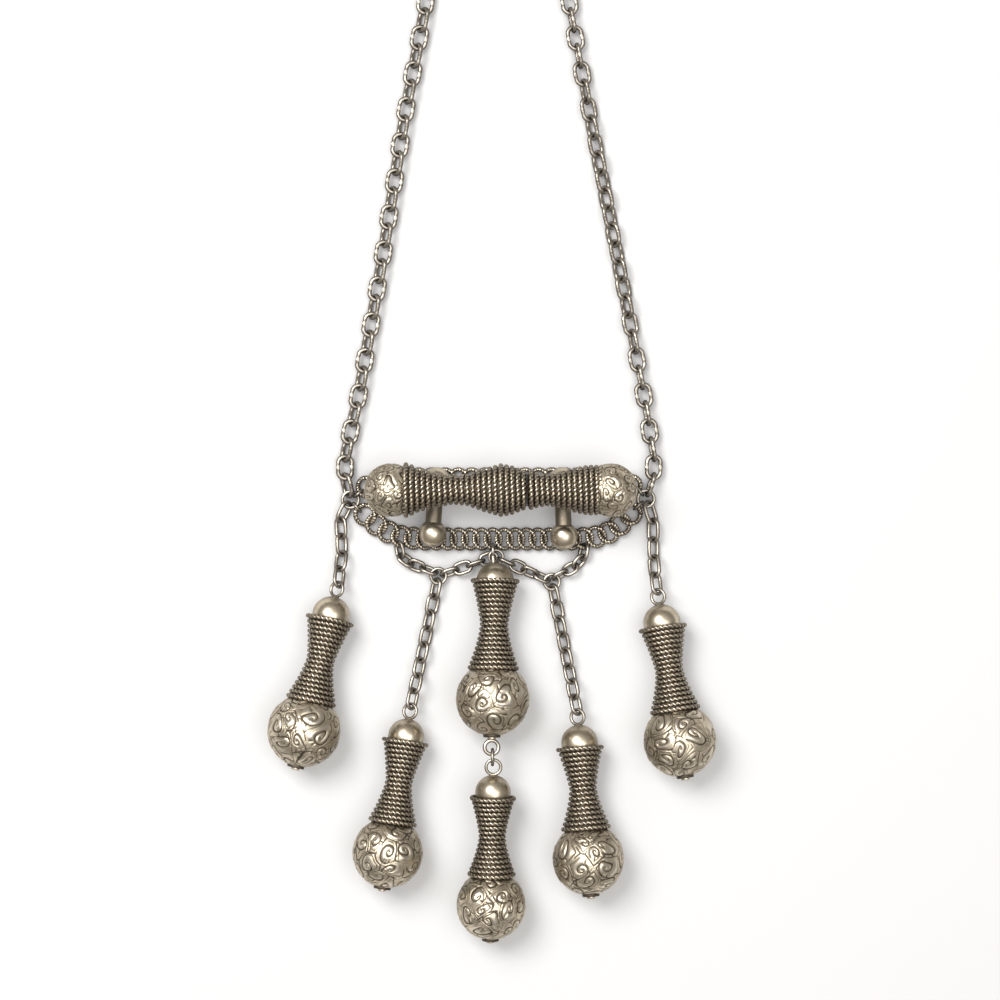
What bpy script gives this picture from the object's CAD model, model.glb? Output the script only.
"""Dresses the CAD frame of a silver necklace and sets up the photograph's view of it.

Lengths in the tables below are in millimetres, as in the part's source. What reaches Blender is in metres.
"""
import math
from collections import namedtuple

import bmesh
import bpy
import numpy as np
from mathutils import Matrix, Vector


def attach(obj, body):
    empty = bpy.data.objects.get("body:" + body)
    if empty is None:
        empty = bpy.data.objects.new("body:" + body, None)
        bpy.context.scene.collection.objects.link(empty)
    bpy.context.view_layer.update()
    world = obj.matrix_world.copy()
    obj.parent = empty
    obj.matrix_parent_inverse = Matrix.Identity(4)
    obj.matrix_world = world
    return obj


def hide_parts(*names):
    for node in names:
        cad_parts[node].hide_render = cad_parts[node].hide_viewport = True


bl_info = {
    "name": "Silver Necklace",
    "version": (1, 0, 0),
    "blender": (4, 5, 0),
    "location": "View3D > Sidebar > Necklace",
    "description": "Builds a folk necklace of wound rope, embossed balls and linked chains",
    "category": "Add Mesh",
}

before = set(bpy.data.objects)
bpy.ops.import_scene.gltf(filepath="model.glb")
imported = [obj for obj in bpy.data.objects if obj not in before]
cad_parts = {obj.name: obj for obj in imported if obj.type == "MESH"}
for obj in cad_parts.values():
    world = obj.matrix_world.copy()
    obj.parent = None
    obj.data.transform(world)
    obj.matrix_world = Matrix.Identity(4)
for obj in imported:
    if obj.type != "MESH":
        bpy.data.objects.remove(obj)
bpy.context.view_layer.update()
MM = 0.001

# Middle of the outline in the drawing's own millimetres, which is the frame's origin
MIDDLE = Vector((-2.12, 56.57, 0))

# Pendants as in the part's source: the ball's place on the table, the axis' turn and fall in degrees, the
# winding's length, the ball's diameter, and how far the dome's centre stands over the winding
Pendant = namedtuple("Pendant", "name x y turn fall winding ball_d bead_rise")
PENDANTS = (
    Pendant("outer_left", -49.7, -58.5, 12.8, 6.1, 20.8, 18.4, 1.4),
    Pendant("inner_left", -28.5, -89.5, 8.9, 5.4, 20.4, 17.7, 1.4),
    Pendant("centre", -1.88, -50.5, 1.2, 6.0, 22.1, 18.5, 0),
    Pendant("tail", -2.28, -102.8, 1.0, -1.6, 19.3, 17.4, 1.4),
    Pendant("inner_right", 22.4, -91.1, -4.2, 5.6, 20.1, 18.0, 1.4),
    Pendant("outer_right", 45.6, -61.0, -8.3, 6.0, 20.9, 18.3, 1.4),
)
MEAN_BALL_D = 18.3
FIRST_TURN = 7.9
RIM_TOP_R = 5.95
RIM_STEP = 0.3
WAIST_R = 3.66
RIM_LOW_R = 6.5
BEAD_D = 9.5
ROPE = 1.22
RELIEF = 0.3
LOW_EYE_R = 1.75
LOW_EYE_DROP = 1.2
EYE_WIRE = 0.82

# End plate and rivet under each pendant's ball: radius, thickness, and how far the middle is past the ball
END_PLATE = (2.2, 1.2, -0.15)
RIVET = (1.1, 1.0, 0.45)

# The bar: its axis, the balls' diameter and places, and the profiles over the rope
BAR_Y = 2.5
BAR_Z = 14.7
BAR_BALL_D = 13.4
BAR_BALLS = (("bar_ball_left", -27.5, -1), ("bar_ball_right", 27.9, 1))
BAR_ROPE = 1.38
BAR_PROFILES = (
    ("bar_winding_left",
     ((-23.7, 7.05), (-22.4, 6.6), (-21, 5.8), (-16.7, 4.55), (-11.9, 3.7), (-8, 4.1), (-4, 5.6),
      (0.3, 6.85), (3, 6.3), (5.85, 5.2))),
    ("bar_winding_right",
     ((7.8, 5.05), (9.6, 4.5), (11.6, 4.1), (14, 4.35), (18, 5.6), (22, 6.45), (24.3, 6.4))),
)

# Ends of the inner tubes, which nearly meet where the two windings do, and the tubes' radius
BAR_TUBES = {"bar_winding_left": (5, 6.73), "bar_winding_right": (6.85, 8.6)}
BAR_TUBE_R = 4.1

# Share of its diameter at which the wound rope is drawn, so that each turn stands free of the next
ROPE_SHARE = 0.92

# What is left of a rope's radius where its outline is drawn in between the two strands, as a share of it
ROPE_WAIST = 0.62
RING_WAIST = 0.76

# Points along one turn of a winding, and the share of a turn that lies level before it steps up to the next
TURN_POINTS = 28
LEVEL_SHARE = 0.86

# Oval link chains: name, wire, width across a link, and whether the links' sides are filed flat
LINK_CHAINS = (
    ("neck_chain_left", 0.98, 4.7, True), ("neck_chain_right", 0.98, 4.7, True),
    ("swag_left", 0.82, 3.8, False), ("swag_left_centre", 0.82, 3.8, False),
    ("swag_right_centre", 0.82, 3.8, False), ("swag_right", 0.82, 3.8, False),
    ("drop_chain_outer_left", 0.82, 4.1, False), ("drop_chain_inner_left", 0.82, 4.1, False),
    ("drop_chain_inner_right", 0.82, 4.1, False), ("drop_chain_outer_right", 0.82, 4.1, False),
)

# What the visible wire and links have over their solids, whose wire is kept thin so that links don't touch
MORE_WIRE = 0.16
MORE_LINK = 0.1

# Filed sides of the neck links, as shares of the straight part's half length
FILED_END = 0.55
NICK_START = 0.56
NICK_END = 0.66
FILE_EDGES = (-0.62, -0.5, 0.5, 0.62)

# The cross pins' tubes, and the bent rings of the ring chains
PIN_TUBE = 9.4
RING_WIRE = 0.76
RING_ROPE = RING_WIRE + 0.46
RING_A = 1.97
RING_B = 5.04 * 0.49
RING_LIFT = 0.86
RING_POINTS = 56

# Cells of ornament on a ball, and the first seed of its random draws
BALL_CELLS = 38
BALL_SEED = 11
BAR_BALL_CELLS = 46
BAR_BALL_SEED = 31
BAR_BALL_FINENESS = 0.8
BAR_BALL_SEGMENTS = (200, 130)

# In a cell: how fast its line curls in, for each radian, and how many veins stand round the curl
CURL_RATE = 0.19
VEINS = 3

# Lights: name, place from the middle of the photograph and side in metres, watts. A broad key stands at the
# photograph's upper left and a weaker fill at its lower right
LIGHTS = (("key", (-0.3, 0.27, 0.75), 0.4, 7.4), ("fill", (0.25, -0.1, 0.9), 0.6, 3.2))

# Half of what the photograph shows from side to side on the table, and the gap between table and silver
HALF_VIEW = 128.5
BOARD_GAP = 0.05


# Numbers

def linear(hexa):
    """An sRGB hex colour as linear RGBA."""
    parts = [int(hexa[i:i + 2], 16) / 255 for i in (1, 3, 5)]
    return tuple(c / 12.92 if c <= 0.04045 else ((c + 0.055) / 1.055) ** 2.4 for c in parts) + (1.0,)


def colour(name, hexa, description):
    """A colour property that starts from an sRGB hex value."""
    return bpy.props.FloatVectorProperty(name=name, description=description, subtype="COLOR", size=4,
                                         min=0, max=1, default=linear(hexa))


def length(name, mm, description):
    """A length property in metres that starts from millimetres."""
    return bpy.props.FloatProperty(name=name, description=description, unit="LENGTH", default=mm * MM,
                                   min=0, precision=5)


def placed(x, y, z):
    """A place in the drawing's millimetres as a vector in the row frame, in metres."""
    return (Vector((x, y, z)) - MIDDLE) * MM


def smooth(x, low, high):
    """0 below low, 1 above high, and an even curve between."""
    t = np.clip((x - low) / (high - low), 0, 1)
    return t * t * (3 - 2 * t)


# Meshes

def only(*objects):
    """Selects these objects alone; the first is active."""
    bpy.ops.object.select_all(action="DESELECT")
    for obj in objects:
        obj.select_set(True)
    bpy.context.view_layer.objects.active = objects[0]


def settle(obj):
    """Moves the object's place and size into its mesh."""
    only(obj)
    bpy.ops.object.transform_apply(location=True, rotation=True, scale=True)
    return obj


def modify(obj, kind, **settings):
    """Adds a modifier and applies it."""
    only(obj)
    modifier = obj.modifiers.new(kind.title(), kind)
    for key, value in settings.items():
        setattr(modifier, key, value)
    bpy.ops.object.modifier_apply(modifier=modifier.name)
    return obj


def joined(name, objects):
    """Joins the objects into one with this name."""
    only(*objects)
    if len(objects) > 1:
        bpy.ops.object.join()
    obj = bpy.context.view_layer.objects.active
    obj.name = obj.data.name = name
    return obj


def copied(template, matrix):
    """A copy of the template with its own mesh, moved by the matrix."""
    obj = template.copy()
    obj.data = template.data.copy()
    bpy.context.scene.collection.objects.link(obj)
    obj.data.transform(matrix)
    return obj


def points_of(obj):
    """The mesh's vertices as an array."""
    co = np.empty(len(obj.data.vertices) * 3)
    obj.data.vertices.foreach_get("co", co)
    return co.reshape(-1, 3)


def put_points(obj, co):
    """Writes the array back as the mesh's vertices."""
    obj.data.vertices.foreach_set("co", np.asarray(co, dtype=np.float32).ravel())
    obj.data.update()


def paint(obj, name, values):
    """Keeps one number for each vertex under this name, for the material."""
    layer = obj.data.attributes.get(name) or obj.data.attributes.new(name, "FLOAT", "POINT")
    each = np.broadcast_to(values, len(obj.data.vertices))
    layer.data.foreach_set("value", each.astype(np.float32))


def shells(name):
    """The vertices of each loose solid of a CAD node, one array each."""
    bm = bmesh.new()
    bm.from_mesh(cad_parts[name].data)
    bmesh.ops.remove_doubles(bm, verts=bm.verts, dist=1e-6)
    seen = set()
    found = []
    for first in bm.verts:
        if first in seen:
            continue
        seen.add(first)
        island = [first]
        for vert in island:
            for edge in vert.link_edges:
                other = edge.other_vert(vert)
                if other not in seen:
                    seen.add(other)
                    island.append(other)
        found.append(np.array([v.co for v in island]))
    bm.free()
    return found


def finished(obj, node, material):
    """Shades the piece, gives it its material and puts it in the CAD node's place."""
    only(obj)
    bpy.ops.object.shade_smooth_by_angle(angle=math.radians(50))
    obj.data.materials.clear()
    obj.data.materials.append(material)
    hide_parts(node)
    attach(obj, "root")
    return obj


def second_material(obj, material, chosen):
    """Gives the faces whose centres are chosen another material; chosen takes an array of places."""
    centres = np.empty(len(obj.data.polygons) * 3)
    obj.data.polygons.foreach_get("center", centres)
    obj.data.materials.append(material)
    obj.data.polygons.foreach_set("material_index", chosen(centres.reshape(-1, 3)).astype(np.int32))


def dressed(node, material):
    """Gives a CAD node that is shown as it is a material."""
    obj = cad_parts[node]
    obj.data.materials.clear()
    obj.data.materials.append(material)


# Rope

def straight_rope(total, rope_d, twist, waist, steps, sides):
    """Two strands twisted along X, with the total length and one full turn to each twist.

    The strands lie in each other, so their outline together is a circle drawn in on two sides, to this
    share of its radius at the waist. A turn has this many steps, and a section this many sides.
    """
    turns = max(1, round(total / twist))
    bpy.ops.mesh.primitive_circle_add(vertices=sides, radius=rope_d / 2, rotation=(0, math.pi / 2, 0))
    rope = settle(bpy.context.active_object)
    co = points_of(rope)
    lobe = np.abs(np.cos(np.arctan2(co[:, 2], co[:, 1])))
    put_points(rope, co * (waist + (1 - waist) * lobe ** 1.2)[:, None])
    modify(rope, "SCREW", axis="X", angle=math.tau * turns, screw_offset=total, steps=steps * turns,
           render_steps=steps * turns, use_merge_vertices=False)
    co = points_of(rope)
    # The rope starts at 0, whichever way along the axis the modifier has run
    co[:, 0] -= co[:, 0].min()
    put_points(rope, co)
    paint(rope, "groove", 0)
    paint(rope, "crest", (np.hypot(co[:, 1], co[:, 2]) / (rope_d / 2) - waist) / (1 - waist))
    return rope


def follow(rope, path, closed):
    """Bends a straight rope along the path's points."""
    data = bpy.data.curves.new("path", "CURVE")
    data.dimensions = "3D"
    spline = data.splines.new("POLY")
    spline.points.add(len(path) - 1)
    for point, place in zip(spline.points, path):
        point.co = (*place, 1)
    spline.use_cyclic_u = closed
    curve = bpy.data.objects.new("path", data)
    bpy.context.scene.collection.objects.link(curve)
    modify(rope, "CURVE", object=curve, deform_axis="POS_X")
    bpy.data.objects.remove(curve)
    bpy.data.curves.remove(data)
    only(rope)
    bpy.ops.object.mode_set(mode="EDIT")
    bpy.ops.mesh.select_all(action="SELECT")
    if closed:
        bpy.ops.mesh.remove_doubles(threshold=0.08 * MM)
    else:
        bpy.ops.mesh.fill_holes(sides=0)
    bpy.ops.mesh.normals_make_consistent(inside=False)
    bpy.ops.object.mode_set(mode="OBJECT")
    return rope


def path_length(path, closed):
    """The length of the path's polyline."""
    ends = path + path[:1] if closed else path
    return sum((Vector(b) - Vector(a)).length for a, b in zip(ends, ends[1:]))


def core(rows, tarnish):
    """A turned core through rows of (place on the axis, radius), in metres, as dark as its tarnish."""
    start, radius = rows[0]
    bpy.ops.mesh.primitive_circle_add(vertices=32, radius=radius, fill_type="NGON", location=(0, 0, start))
    obj = settle(bpy.context.active_object)
    bpy.ops.object.mode_set(mode="EDIT")
    bpy.ops.mesh.select_all(action="SELECT")
    for (z, r), (z2, r2) in zip(rows, rows[1:]):
        bpy.ops.mesh.extrude_region_move(TRANSFORM_OT_translate={"value": (0, 0, z2 - z)})
        bpy.ops.transform.resize(value=(r2 / r, r2 / r, 1), center_override=(0, 0, z2))
    bpy.ops.mesh.select_all(action="SELECT")
    bpy.ops.mesh.normals_make_consistent(inside=False)
    bpy.ops.object.mode_set(mode="OBJECT")
    paint(obj, "crest", 0)
    paint(obj, "groove", tarnish)
    return obj


def wound(name, turns, rope_d, twist, under, extra=()):
    """Rope wound over a core: turns is a list of (place on the axis, radius over the rope), in metres.

    Each turn lies level and steps up to the next on the underside, which is at the angle under. What extra
    holds is joined to the piece.
    """
    places = [z for z, r in turns]
    radii = [r - rope_d / 2 for z, r in turns]
    count = len(turns)
    path = []
    for i in range(TURN_POINTS * count + 1):
        t = i / TURN_POINTS
        whole = min(math.floor(t), count - 1)
        row = min(whole + float(smooth(t - whole, LEVEL_SHARE, 1.0)), count - 1)
        z = np.interp(row, range(count), places)
        r = np.interp(row, range(count), radii)
        angle = math.tau * (t - (LEVEL_SHARE + 1) / 2) + under
        path.append((r * math.cos(angle), r * math.sin(angle), z))
    rope = straight_rope(path_length(path, False), rope_d, twist, ROPE_WAIST, 8, 12)
    follow(rope, path, False)
    inner = core([(z, r - rope_d * 0.15) for z, r in zip(places, radii)], 0.8)
    return joined(name, [rope, inner, *extra])


# Links

def link_template(wire, width, total, filed):
    """One oval link lying flat, its length along X, with its two long sides filed where filed says so."""
    ring_r = (width - wire) / 2
    half = (total - width) / 2
    bpy.ops.mesh.primitive_torus_add(major_radius=ring_r, minor_radius=wire / 2, major_segments=24,
                                     minor_segments=8)
    link = bpy.context.active_object
    link.name = "link"
    co = points_of(link)
    middle = np.abs(co[:, 0]) < 1e-7
    co[:, 0] += np.where(middle, 0, np.sign(co[:, 0]) * half)
    put_points(link, co)
    # Where the sides are straight, rings of edges bound the filed faces
    bpy.ops.object.mode_set(mode="EDIT")
    for place in FILE_EDGES:
        bpy.ops.mesh.select_all(action="SELECT")
        bpy.ops.mesh.bisect(plane_co=(place * half, 0, 0), plane_no=(1, 0, 0))
    bpy.ops.object.mode_set(mode="OBJECT")
    co = points_of(link)
    x = np.abs(co[:, 0])
    side = np.sign(co[:, 1])
    notch = np.zeros(len(co))
    flat = np.zeros(len(co))
    if filed:
        # Filed middle: the wire is a little thinner and square there, and a nick bounds it at each end
        in_file = x < FILED_END * half
        out = np.abs(co[:, 1]) - ring_r
        co[in_file, 1] = side[in_file] * (ring_r + np.clip(out[in_file] * 1.1, -wire * 0.46, wire * 0.46))
        nick = (x > NICK_START * half) & (x < NICK_END * half)
        co[nick, 1] = side[nick] * (ring_r + out[nick] * 0.92)
        co[nick, 2] *= 0.92
        notch[nick] = 0.5
        flat[in_file] = 0.4
    put_points(link, co)
    paint(link, "groove", notch)
    paint(link, "crest", flat)
    return link


def link_chain(name, wire, width, filed, material, seed):
    """Replaces a chain's plain links: each new link takes its solid's place, length and turn."""
    rng = np.random.default_rng(seed)
    links = []
    template = None
    for solid in shells(name):
        middle = solid.mean(0)
        spread = solid - middle
        axes = np.linalg.eigh(spread.T @ spread)[1][:, ::-1].copy()
        if np.linalg.det(axes) < 0:
            axes[:, 2] *= -1
        extent = np.abs(spread @ axes).max(0)
        if template is None:
            total = 2 * extent[0] + MORE_LINK * MM
            template = link_template((wire + MORE_WIRE) * MM, (width + MORE_LINK) * MM, total, filed)
            template_half = extent[0]
        matrix = Matrix.Translation(middle) @ Matrix(axes.tolist()).to_4x4()
        # Handmade links differ a little in width and in wire
        stretch = (extent[0] / template_half, rng.uniform(0.985, 1), rng.uniform(0.96, 1), 1)
        links.append(copied(template, matrix @ Matrix.Diagonal(stretch)))
    bpy.data.objects.remove(template)
    return finished(joined(name + "_wire", links), name, material)


def ring_chain(name, material, twist):
    """Replaces a ring chain: copies of one bent ring of twisted wire take the solids' places."""
    solids = sorted(shells(name), key=lambda s: s.mean(0)[0])
    centres = np.array([s.mean(0) for s in solids])
    path = []
    for i in range(RING_POINTS):
        f = math.tau * i / RING_POINTS
        point = (RING_A * math.cos(f), RING_B * math.sin(f), RING_LIFT * math.sin(2 * f))
        path.append(tuple(part * MM for part in point))
    template = straight_rope(path_length(path, True), RING_ROPE * MM, twist, RING_WAIST, 8, 8)
    follow(template, path, True)
    rings = []
    for i, (solid, centre) in enumerate(zip(solids, centres)):
        ahead = centres[min(i + 1, len(centres) - 1)] - centres[max(i - 1, 0)]
        angle = math.atan2(ahead[1], ahead[0])
        turn = Matrix.Rotation(angle, 4, "Z")
        along = (solid - centre) @ np.array(turn.to_3x3())[:, 0]
        stretch = (np.abs(along).max() - RING_WIRE * MM / 2) / (RING_A * MM)
        place = Matrix.Translation(centre) @ turn
        rings.append(copied(template, place @ Matrix.Diagonal((stretch, 1, 1, 1))))
    bpy.data.objects.remove(template)
    return finished(joined(name + "_wire", rings), name, material)


# Embossing

def cells(count, turn):
    """Centres spread evenly over the unit sphere, as an array."""
    k = np.arange(count) + 0.5
    z = 1 - 2 * k / count
    angle = k * math.pi * (3 - math.sqrt(5)) + turn
    return np.stack((np.sqrt(1 - z * z) * np.cos(angle), np.sqrt(1 - z * z) * np.sin(angle), z), 1)


def waves(points, size, rng):
    """An even random field through space, about -1 to 1, whose swells are this size."""
    total = np.zeros(len(points))
    for _ in range(16):
        way = rng.normal(size=3)
        way *= math.pi / size / np.linalg.norm(way)
        total += np.sin(points @ way + rng.uniform(0, math.tau))
    return total / math.sqrt(8)


def unit(rows):
    """The rows of an array, each made one long."""
    return rows / np.linalg.norm(rows, axis=1)[:, None]


def curl(r, angle, pitch, line, rng):
    """How far points of a cell lie outside the line that curls in to its bud, in metres.

    The points are given as a distance and a direction from the cell's centre.
    """
    scale = pitch * rng.uniform(0.32, 0.4)
    laps = rng.uniform(5.2, 7.2)
    bud = scale * math.exp(-CURL_RATE * laps) * 0.35
    away = np.hypot(r * np.cos(angle) - bud * math.cos(laps), r * np.sin(angle) - bud * math.sin(laps))
    best = away - line
    for lap in range(-1, 2):
        t = np.mod(angle, math.tau) + math.tau * lap
        width = line * np.clip(1.25 - 0.13 * np.abs(t - 0.6), 0.25, 1.1)
        past_ends = np.maximum(0, np.maximum(-2.6 - t, t - laps)) * pitch
        best = np.minimum(best, np.hypot(r - scale * np.exp(-CURL_RATE * t), past_ends) - width)
    return best


def vein(r, angle, pitch, line, rng):
    """How far points of a cell lie outside one of the short bent veins round its curl, in metres."""
    lean = rng.uniform(0, math.tau)
    x = r * np.cos(angle - lean) - pitch * 0.44
    y = r * np.sin(angle - lean) + 1.6 * x * x / pitch
    along = np.clip(x, -0.13 * pitch, 0.13 * pitch)
    return np.hypot(x - along, y) - line * (0.8 - 4.7 * np.abs(along) / pitch)


def chasing(n, radius, count, line, seed):
    """How far each point of a ball lies outside the nearest chased line, in metres, for unit directions n.

    The ball is shared out between cells that a chaser's uneven hand has bent. Most borders are cut as long
    leaf edges, some of them twice, and in each cell a line curls in to a bud, with short veins round it.
    """
    rng = np.random.default_rng(seed)
    pitch = math.sqrt(4 * math.pi / count) * radius
    sway = np.stack([waves(n * radius, pitch * 0.8, rng) for _ in range(3)], 1)
    bent = unit(n * radius + sway * pitch * 0.11)
    centres = cells(count, rng.uniform(0, 6))
    centres = unit(centres + rng.normal(size=(count, 3)) * 0.13 * pitch / radius)
    arc = np.arccos(np.clip(bent @ centres.T, -1, 1)) * radius
    cell = arc.argmin(1)
    near = np.partition(arc, 1, axis=1)
    edge = (near[:, 1] - near[:, 0]) / 2
    once = 0.9 * smooth(waves(n * radius, pitch * 0.45, rng), -0.9, 0.5) - 0.25
    twice = 0.7 * smooth(waves(n * radius, pitch * 0.6, rng), 0.0, 0.9) - 0.3
    nearest = np.minimum(edge - line * once, np.abs(edge - pitch * 0.11) - line * twice)
    for k, centre in enumerate(centres):
        mine = cell == k
        east = np.cross((0, 0, 1), centre)
        east /= np.linalg.norm(east)
        north = np.cross(centre, east)
        way = 1 if k % 2 else -1
        angle = way * np.arctan2(bent[mine] @ north, bent[mine] @ east) + rng.uniform(0, 6)
        r = near[mine, 0]
        cut = curl(r, angle, pitch, line, rng)
        for _ in range(VEINS):
            cut = np.minimum(cut, vein(r, angle, pitch, line, rng))
        nearest[mine] = np.minimum(nearest[mine], cut)
    return nearest


def embossed(name, radius, count, line, depth, level, seed, segments):
    """A ball with its axis along Z, lines cut into it and the sheet between them swollen, in metres.

    Segments are a ball's meridians and rows; without them it is made of even triangles.
    """
    if segments:
        bpy.ops.mesh.primitive_uv_sphere_add(segments=segments[0], ring_count=segments[1], radius=radius)
    else:
        bpy.ops.mesh.primitive_ico_sphere_add(subdivisions=7, radius=radius)
    ball = bpy.context.active_object
    ball.name = name
    n = unit(points_of(ball))
    out = chasing(n, radius, count, line, seed)
    swell = 1 - np.exp(-(np.maximum(out, 0) / (2.6 * line)) ** 2)
    cut = 1 - smooth(out, -0.4 * line, 0.8 * line)
    put_points(ball, n * (radius + level * swell - depth * cut)[:, None])
    paint(ball, "groove", cut)
    paint(ball, "crest", swell * (1 - cut))
    if not segments:
        modify(ball, "DECIMATE", ratio=0.75)
    return ball


def turned_disc(size, ball_radius, groove):
    """A short round plate with eased edges under a pendant's ball, both in millimetres."""
    radius, depth, past = size
    bpy.ops.mesh.primitive_cylinder_add(vertices=40, radius=radius * MM, depth=depth * MM,
                                        location=(0, 0, -(ball_radius + past) * MM))
    disc = settle(bpy.context.active_object)
    modify(disc, "BEVEL", width=depth * MM * 0.2, segments=2, limit_method="ANGLE")
    paint(disc, "groove", groove)
    paint(disc, "crest", 0.5)
    return disc


# Materials

def add(tree, kind, inputs=(), **settings):
    """Adds a node with its settings, and with its inputs linked or set."""
    node = tree.nodes.new(kind)
    for key, value in settings.items():
        setattr(node, key, value)
    for key, value in dict(inputs).items():
        if isinstance(value, bpy.types.NodeSocket):
            tree.links.new(value, node.inputs[key])
        else:
            node.inputs[key].default_value = value
    return node


def silver(name, base, bright, rough, blotch, reach, cut_dark, dull, crest_from, bump, sides):
    """Oxidised silver: bright where it is rubbed, dark where hollows, lines and gaps have kept tarnish.

    base and bright are colours, and rough is the lowest and highest roughness. In millimetres, blotch is
    the size of the tarnish clouds, reach how near metal must lie for a gap to stay dark, and bump the depth
    of the finest marks. cut_dark is how dark the cut lines are, dull how much the clouds show, crest_from
    where the rubbed crests begin, and sides how much tarnish steep and under sides keep, which nothing rubs.
    """
    if name in bpy.data.materials:
        return bpy.data.materials[name]
    patina = tones().patina
    material = bpy.data.materials.new(name)
    material.use_nodes = True
    tree = material.node_tree
    shader = tree.nodes["Principled BSDF"]
    place = add(tree, "ShaderNodeTexCoord").outputs["Object"]
    cloud = add(tree, "ShaderNodeTexNoise",
                {"Vector": place, "Scale": 1 / (blotch * MM), "Detail": 4.0, "Roughness": 0.6})
    crest = add(tree, "ShaderNodeAttribute", attribute_name="crest")
    rubbed = add(tree, "ShaderNodeMapRange",
                 {"Value": crest.outputs["Fac"], "From Min": crest_from, "From Max": 1.0},
                 interpolation_type="SMOOTHSTEP")
    clouds = add(tree, "ShaderNodeMapRange",
                 {"Value": cloud.outputs["Fac"], "From Min": 0.42, "From Max": 0.68, "To Max": dull})
    body = add(tree, "ShaderNodeMix", {"Factor": rubbed.outputs[0], 6: base, 7: bright}, data_type="RGBA")
    body = add(tree, "ShaderNodeMix", {"Factor": clouds.outputs[0], 6: body.outputs[2], 7: patina},
               data_type="RGBA")

    # Tarnish lies in gaps, in cut lines and on steep sides, whichever of them is darkest at a place
    gap = add(tree, "ShaderNodeAmbientOcclusion", {"Distance": reach * MM}, samples=8)
    hollow = add(tree, "ShaderNodeMapRange",
                 {"Value": gap.outputs["AO"], "From Min": 0.15, "From Max": 0.75, "To Min": 1.0,
                  "To Max": 0.0})
    groove = add(tree, "ShaderNodeAttribute", attribute_name="groove")
    lines = add(tree, "ShaderNodeMath", {0: groove.outputs["Fac"], 1: cut_dark}, operation="MULTIPLY")
    dark = add(tree, "ShaderNodeMath", {0: hollow.outputs[0], 1: lines.outputs[0]}, operation="MAXIMUM",
               use_clamp=True)
    lie = add(tree, "ShaderNodeSeparateXYZ", {0: add(tree, "ShaderNodeNewGeometry").outputs["Normal"]})
    steep = add(tree, "ShaderNodeMapRange",
                {"Value": lie.outputs[2], "From Min": 0.15, "From Max": 0.8, "To Min": sides,
                 "To Max": 0.0},
                interpolation_type="SMOOTHSTEP")
    dark = add(tree, "ShaderNodeMath", {0: dark.outputs[0], 1: steep.outputs[0]}, operation="MAXIMUM")
    body = add(tree, "ShaderNodeMix", {"Factor": dark.outputs[0], 6: body.outputs[2], 7: patina},
               data_type="RGBA")
    tree.links.new(body.outputs[2], shader.inputs["Base Color"])

    # Tarnished places are rougher than rubbed ones
    worn = add(tree, "ShaderNodeMapRange",
               {"Value": cloud.outputs["Fac"], "From Min": 0.3, "From Max": 0.7, "To Min": rough[0],
                "To Max": rough[1]})
    duller = add(tree, "ShaderNodeMath", {0: dark.outputs[0], 1: 0.3, 2: worn.outputs[0]},
                 operation="MULTIPLY_ADD")
    tree.links.new(duller.outputs[0], shader.inputs["Roughness"])

    # The finest scratches would be too small to show, so they are drawn 0.35 mm apart
    grain = add(tree, "ShaderNodeTexNoise", {"Vector": place, "Scale": 1 / (0.35 * MM), "Detail": 3.0})
    marks = add(tree, "ShaderNodeBump",
                {"Height": grain.outputs["Fac"], "Distance": bump * MM, "Strength": 0.6})
    tree.links.new(marks.outputs[0], shader.inputs["Normal"])
    shader.inputs["Metallic"].default_value = 1.0
    return material


def tones():
    """The scene's colours."""
    return bpy.context.scene.necklace_colours


def sizes():
    """The scene's sizes."""
    return bpy.context.scene.necklace_sizes


def drawn_wire_silver():
    """Drawn and soldered silver wire."""
    # Rubbed bright on its outside, and grey where the links lie on each other
    c = tones()
    return silver("drawn_wire_silver", c.silver, c.rubbed, rough=(0.3, 0.42), blotch=2.4, reach=1.2,
                  cut_dark=0.9, dull=0.35, crest_from=0.4, bump=0.02, sides=0.95)


def rope_silver():
    """Two thin silver wires twisted into rope and wound tight."""
    # The tops of the strands shine, and the rest is near black
    c = tones()
    return silver("twisted_rope_silver", c.rope, c.rubbed, rough=(0.3, 0.4), blotch=3, reach=0.7,
                  cut_dark=0.9, dull=0.25, crest_from=0.8, bump=0.01, sides=0.5)


def ring_silver():
    """Twisted silver wire bent to rings."""
    # More handled than the wound rope, and so brighter on top
    c = tones()
    return silver("twisted_ring_silver", c.rope, c.rubbed, rough=(0.3, 0.4), blotch=3, reach=1.6,
                  cut_dark=0.9, dull=0.3, crest_from=0.6, bump=0.01, sides=0.95)


def embossed_silver():
    """Thin silver sheet raised from behind and chased."""
    # Warm and bright, with tarnish left in the cut lines
    c = tones()
    return silver("embossed_sheet_silver", c.champagne, c.rubbed, rough=(0.3, 0.4), blotch=3, reach=0.5,
                  cut_dark=0.9, dull=0.25, crest_from=0.2, bump=0.015, sides=0.35)


def engraved_silver():
    """The sheet of the bar's balls, engraved more finely and closely."""
    # Cooler and whiter than the pendants' balls
    c = tones()
    return silver("engraved_sheet_silver", c.champagne, c.white, rough=(0.32, 0.42), blotch=2, reach=0.5,
                  cut_dark=0.95, dull=0.3, crest_from=0.25, bump=0.02, sides=0.45)


def polished_silver():
    """Plain silver sheet, polished once."""
    # Satin from wear, with soft reflections
    c = tones()
    return silver("polished_sheet_silver", c.champagne, c.rubbed, rough=(0.24, 0.36), blotch=3.5, reach=0.8,
                  cut_dark=0.9, dull=0.25, crest_from=0.9, bump=0.012, sides=0.45)


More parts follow.
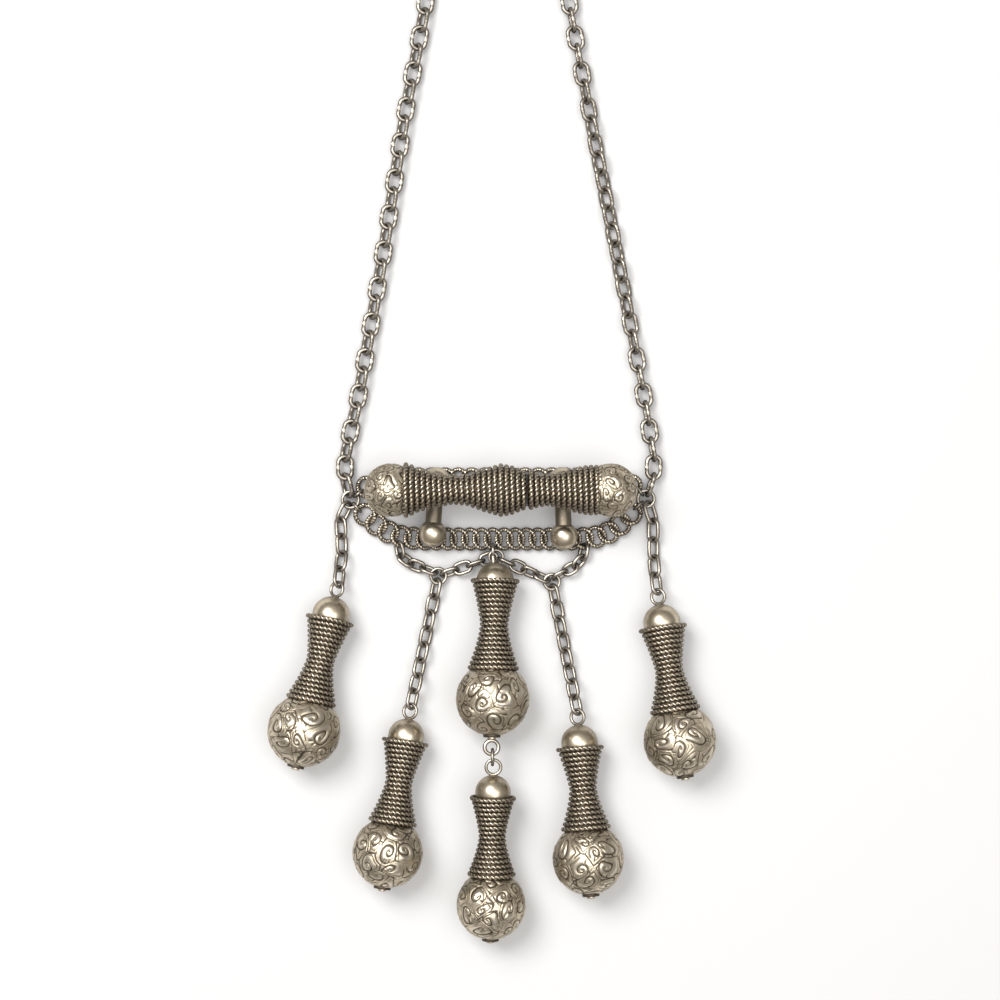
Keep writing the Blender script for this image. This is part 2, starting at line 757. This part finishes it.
def board_white():
    """White card under the necklace."""
    # Matt and very evenly white, and darker only close to what lies on it
    material = bpy.data.materials.new("matt_white_board")
    material.use_nodes = True
    tree = material.node_tree
    shader = tree.nodes["Principled BSDF"]
    place = add(tree, "ShaderNodeTexCoord").outputs["Object"]
    fibre = add(tree, "ShaderNodeTexNoise", {"Vector": place, "Scale": 1 / (12 * MM), "Detail": 3.0})
    tint = add(tree, "ShaderNodeMapRange", {"Value": fibre.outputs["Fac"], "To Min": 0.97, "To Max": 1.0})
    mixed = add(tree, "ShaderNodeMix",
                {"Factor": tint.outputs[0], 6: tones().board_shade, 7: tones().board}, data_type="RGBA")
    near = add(tree, "ShaderNodeAmbientOcclusion", {"Distance": 4.5 * MM}, samples=8)
    touch = add(tree, "ShaderNodeMapRange",
                {"Value": near.outputs["AO"], "From Min": 0.15, "From Max": 0.74})
    mixed = add(tree, "ShaderNodeMix",
                {"Factor": touch.outputs[0], 6: tones().contact, 7: mixed.outputs[2]}, data_type="RGBA")
    tree.links.new(mixed.outputs[2], shader.inputs["Base Color"])
    shader.inputs["Roughness"].default_value = 0.9
    shader.inputs["Specular IOR Level"].default_value = 0.1
    shader.inputs["Emission Color"].default_value = (1, 1, 1, 1)
    shader.inputs["Emission Strength"].default_value = 0.12
    return material


# Properties

class NecklaceSizes(bpy.types.PropertyGroup):
    """Sizes that a user may change"""
    rope_twist: length("Rope Twist", 2.4, "Length of one full twist of the wound rope")
    ring_twist: length("Ring Twist", 1.4, "Length of one full twist of the wire in the small rings")
    line_width: length("Line Width", 0.16, "Half width of the lines chased into the balls")
    line_depth: length("Line Depth", 0.1, "Depth of the chased lines")
    leaf_height: length("Leaf Height", 0.17, "How far the sheet swells between the lines")
    camera_height: length("Camera Height", 729, "Height of the camera above the table")
    board: length("Board", 1400, "Side of the square board under the necklace")


class NecklaceColours(bpy.types.PropertyGroup):
    """Colours that a user may change"""
    silver: colour("Silver", "#aea69a", "Plain wire of the chains")
    rubbed: colour("Rubbed Silver", "#e4dacb", "Where handling has kept the silver bright")
    white: colour("White Silver", "#e9e2d6", "The brightest sheet, on the bar's balls")
    champagne: colour("Champagne", "#d6c9b2", "The warm sheet of the embossed balls and plain domes")
    rope: colour("Rope", "#8c806d", "The sides of the wound strands")
    patina: colour("Patina", "#291f16", "Tarnish in hollows and cut lines")
    board: colour("Board", "#c6c5c4", "The table, before the light falls on it")
    board_shade: colour("Board Shade", "#b3b3b3", "The darkest of the board's faint unevenness")
    contact: colour("Contact Shade", "#6f6c69", "The board close to what lies on it")
    room_low: colour("Room Low", "#6f6c69", "The room at the height of the table")
    room_middle: colour("Room Middle", "#aaa8a5", "The room's upper walls")
    room_top: colour("Room Top", "#f6f5f2", "The room's ceiling")


# Operators

class NECKLACE_OT_link_chains(bpy.types.Operator):
    """Model the oval links of the neck chain, swags and drop chains"""
    bl_idname = "necklace.link_chains"
    bl_label = "Link Chains"

    def execute(self, context):
        material = drawn_wire_silver()
        for seed, (name, wire, width, filed) in enumerate(LINK_CHAINS):
            link_chain(name, wire, width, filed, material, seed)
        for name in ("clasp_hook", "end_rings_left", "end_rings_right", "swag_ring_left", "swag_ring_right",
                     "swag_ring_centre", "tail_link"):
            dressed(name, material)
        return {"FINISHED"}


class NECKLACE_OT_ring_chains(bpy.types.Operator):
    """Model the two chains of twisted wire rings in front of the bar and behind it"""
    bl_idname = "necklace.ring_chains"
    bl_label = "Ring Chains"

    def execute(self, context):
        material = ring_silver()
        for name in ("ring_chain_front", "ring_chain_back"):
            ring_chain(name, material, sizes().ring_twist)
        return {"FINISHED"}


def lay(pendant):
    """The matrix that lays a pendant, drawn along +Z from its ball's centre, on the table."""
    at = placed(pendant.x, pendant.y, pendant.ball_d / 2 + RELIEF)
    return (Matrix.Translation(at) @ Matrix.Rotation(math.radians(-pendant.turn), 4, "Z")
            @ Matrix.Rotation(math.radians(-90 - pendant.fall), 4, "X"))


def pendant_turns(pendant):
    """Rope turns of a pendant's waist as (place on the axis, radius over the rope), in metres."""
    size = pendant.ball_d / MEAN_BALL_D
    count = round(pendant.winding / ROPE)
    turns = []
    for i in range(count + 1):
        t = i / count
        u = abs(2 * t - 1)
        if t > 0.5:
            r = WAIST_R + (RIM_TOP_R - WAIST_R) * u ** 1.25
        else:
            r = WAIST_R + (RIM_LOW_R - WAIST_R) * u ** 1.5
        if i == count:
            r += RIM_STEP
        turns.append(((FIRST_TURN + pendant.winding * t) * MM, r * size * MM))
    return turns


def bar_turns(rows):
    """Rope turns of one half of the bar, spread evenly along its profile, in metres."""
    start, end = rows[0][0], rows[-1][0]
    count = round((end - start) / BAR_ROPE)
    turns = []
    for i in range(count + 1):
        x = start + (end - start) * i / count
        turns.append((x * MM, np.interp(x, [row[0] for row in rows], [row[1] for row in rows]) * MM))
    return turns


class NECKLACE_OT_windings(bpy.types.Operator):
    """Wind twisted rope round the pendants' waists and the bar"""
    bl_idname = "necklace.windings"
    bl_label = "Rope Windings"

    def execute(self, context):
        material = rope_silver()
        twist = sizes().rope_twist
        for pendant in PENDANTS:
            name = "winding_" + pendant.name
            turns = pendant_turns(pendant)
            piece = wound(name + "_rope", turns, ROPE * ROPE_SHARE * MM, twist, math.pi / 2)
            piece.data.transform(lay(pendant))
            finished(piece, name, material)
        along_bar = Matrix.Translation(placed(0, BAR_Y, BAR_Z)) @ Matrix.Rotation(math.pi / 2, 4, "Y")
        for name, rows in BAR_PROFILES:
            tube = core([(place * MM, BAR_TUBE_R * MM) for place in BAR_TUBES[name]], 1.2)
            piece = wound(name + "_rope", bar_turns(rows), BAR_ROPE * ROPE_SHARE * MM, twist, 0, [tube])
            piece.data.transform(along_bar)
            finished(piece, name, material)
        return {"FINISHED"}


def lower_eye(pendant):
    """The ring under the centre ball, which holds the tail pendant's link."""
    place = -(pendant.ball_d / 2 + LOW_EYE_DROP + LOW_EYE_R) * MM
    wire_r = (EYE_WIRE + MORE_WIRE) / 2 * MM
    bpy.ops.mesh.primitive_torus_add(major_radius=LOW_EYE_R * MM, minor_radius=wire_r, major_segments=40,
                                     minor_segments=12, location=(0, 0, place),
                                     rotation=(math.pi / 2, 0, 0))
    eye = settle(bpy.context.active_object)
    paint(eye, "groove", 0)
    paint(eye, "crest", 0.5)
    return eye


class NECKLACE_OT_balls(bpy.types.Operator):
    """Model the six embossed balls at the ends of the pendants"""
    bl_idname = "necklace.balls"
    bl_label = "Pendant Balls"

    def execute(self, context):
        material = embossed_silver()
        s = sizes()
        for k, pendant in enumerate(PENDANTS):
            name = "ball_" + pendant.name
            radius = pendant.ball_d / 2
            parts = [
                embossed(name + "_sheet", radius * MM, BALL_CELLS, s.line_width, s.line_depth,
                         s.leaf_height, BALL_SEED + k, None),
                turned_disc(END_PLATE, radius, 0.95),
                turned_disc(RIVET, radius, 0),
            ]
            if pendant.name == "centre":
                parts.append(lower_eye(pendant))
            piece = joined(name + "_sheet", parts)
            piece.data.transform(lay(pendant))
            finished(piece, name, material)
            if pendant.name == "centre":
                along = np.array(lay(pendant).inverted())[2]
                second_material(piece, drawn_wire_silver(),
                                lambda at: at @ along[:3] + along[3] < -(radius + 1.1) * MM)
        return {"FINISHED"}


class NECKLACE_OT_bar_balls(bpy.types.Operator):
    """Model the two engraved balls at the ends of the bar"""
    bl_idname = "necklace.bar_balls"
    bl_label = "Bar Balls"

    def execute(self, context):
        material = engraved_silver()
        s = sizes()
        for k, (name, x, side) in enumerate(BAR_BALLS):
            width = s.line_width * BAR_BALL_FINENESS
            height = s.leaf_height * BAR_BALL_FINENESS
            piece = embossed(name + "_sheet", BAR_BALL_D / 2 * MM, BAR_BALL_CELLS, width, s.line_depth,
                             height, BAR_BALL_SEED + k, BAR_BALL_SEGMENTS)
            piece.data.transform(Matrix.Translation(placed(x, BAR_Y, BAR_Z))
                                 @ Matrix.Rotation(side * math.pi / 2, 4, "Y"))
            finished(piece, name, material)
        return {"FINISHED"}


class NECKLACE_OT_plain_sheet(bpy.types.Operator):
    """Give the domes over the pendants and the cross pins their polish"""
    bl_idname = "necklace.plain_sheet"
    bl_label = "Domes and Pins"

    def execute(self, context):
        material = polished_silver()
        for pendant in PENDANTS:
            cap = "cap_" + pendant.name
            dressed(cap, material)
            # The eye over the dome is drawn wire
            top = FIRST_TURN + pendant.winding + pendant.bead_rise
            bead = np.array(lay(pendant) @ Vector((0, 0, top * MM)))
            reach = (BEAD_D / 2 * pendant.ball_d / MEAN_BALL_D + 0.15) * MM
            second_material(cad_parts[cap], drawn_wire_silver(),
                            lambda at: np.linalg.norm(at - bead, axis=1) > reach)
        for name in ("cross_pin_left", "cross_pin_right"):
            dressed(name, material)
            # The pins' tubes keep more tarnish than their balls, because nothing rubs them
            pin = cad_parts[name]
            y = points_of(pin)[:, 1]
            paint(pin, "groove", np.where(np.abs(y - (y.min() + y.max()) / 2) < PIN_TUBE / 2 * MM, 0.75, 0))
        return {"FINISHED"}


def light(aim, name, at, side, power):
    """A square soft light that faces the aim."""
    data = bpy.data.lights.new(name, "AREA")
    data.shape = "SQUARE"
    data.size = side
    data.energy = power
    lamp = bpy.data.objects.new(name, data)
    bpy.context.scene.collection.objects.link(lamp)
    lamp.location = aim + Vector(at)
    lamp.rotation_euler = (-Vector(at)).to_track_quat("-Z", "Y").to_euler()


def room():
    """The room that the silver reflects: bright overhead and grey at the sides."""
    world = bpy.data.worlds.new("studio")
    bpy.context.scene.world = world
    world.use_nodes = True
    tree = world.node_tree
    way = add(tree, "ShaderNodeTexCoord").outputs["Generated"]
    split = add(tree, "ShaderNodeSeparateXYZ", {0: way})
    ramp = add(tree, "ShaderNodeValToRGB", {0: split.outputs[2]})
    low, top = ramp.color_ramp.elements
    low.color = tones().room_low
    top.color = tones().room_top
    ramp.color_ramp.elements.new(0.6).color = tones().room_middle
    tree.links.new(ramp.outputs[0], tree.nodes["Background"].inputs[0])


def camera_above(aim):
    """The camera, straight above the aim, which sees what the photograph shows."""
    height = sizes().camera_height
    camera = bpy.data.cameras.new("camera")
    camera.sensor_fit = "HORIZONTAL"
    camera.angle = 2 * math.atan(HALF_VIEW * MM / height)
    camera.clip_end = 10
    shot = bpy.data.objects.new("camera", camera)
    bpy.context.scene.collection.objects.link(shot)
    shot.location = aim + Vector((0, 0, height))
    bpy.context.scene.camera = shot


class NECKLACE_OT_stage(bpy.types.Operator):
    """Set up the white board, the soft lights and the camera straight above"""
    bl_idname = "necklace.stage"
    bl_label = "Stage"

    def execute(self, context):
        bpy.ops.mesh.primitive_plane_add(size=sizes().board, location=(0, 0, -BOARD_GAP * MM))
        board = settle(context.active_object)
        board.name = "board"
        board.data.materials.append(board_white())
        aim = placed(0, 0, 0)
        for lamp in LIGHTS:
            light(aim, *lamp)
        room()
        camera_above(aim)
        context.scene.view_settings.view_transform = "Standard"
        context.scene.view_settings.look = "None"
        return {"FINISHED"}


class NECKLACE_PT_panel(bpy.types.Panel):
    """Lists the necklace's pieces, sizes and colours"""
    bl_idname = "NECKLACE_PT_panel"
    bl_label = "Silver Necklace"
    bl_space_type = "VIEW_3D"
    bl_region_type = "UI"
    bl_category = "Necklace"

    def draw(self, context):
        layout = self.layout
        for operator in OPERATORS:
            layout.operator(operator.bl_idname)
        for group in (context.scene.necklace_sizes, context.scene.necklace_colours):
            for key in group.__annotations__:
                layout.prop(group, key)


OPERATORS = (NECKLACE_OT_link_chains, NECKLACE_OT_ring_chains, NECKLACE_OT_windings, NECKLACE_OT_balls,
             NECKLACE_OT_bar_balls, NECKLACE_OT_plain_sheet, NECKLACE_OT_stage)
CLASSES = (NecklaceSizes, NecklaceColours, *OPERATORS, NECKLACE_PT_panel)


def register():
    """Makes the classes known, and gives the scene its sizes and colours."""
    for cls in CLASSES:
        bpy.utils.register_class(cls)
    bpy.types.Scene.necklace_sizes = bpy.props.PointerProperty(type=NecklaceSizes)
    bpy.types.Scene.necklace_colours = bpy.props.PointerProperty(type=NecklaceColours)


def unregister():
    """Takes back what register gave."""
    del bpy.types.Scene.necklace_colours
    del bpy.types.Scene.necklace_sizes
    for cls in reversed(CLASSES):
        bpy.utils.unregister_class(cls)


def main():
    """Builds the necklace and its stage."""
    register()
    bpy.ops.necklace.link_chains()
    bpy.ops.necklace.ring_chains()
    bpy.ops.necklace.windings()
    bpy.ops.necklace.balls()
    bpy.ops.necklace.bar_balls()
    bpy.ops.necklace.plain_sheet()
    bpy.ops.necklace.stage()


if __name__ == "__main__":
    main()
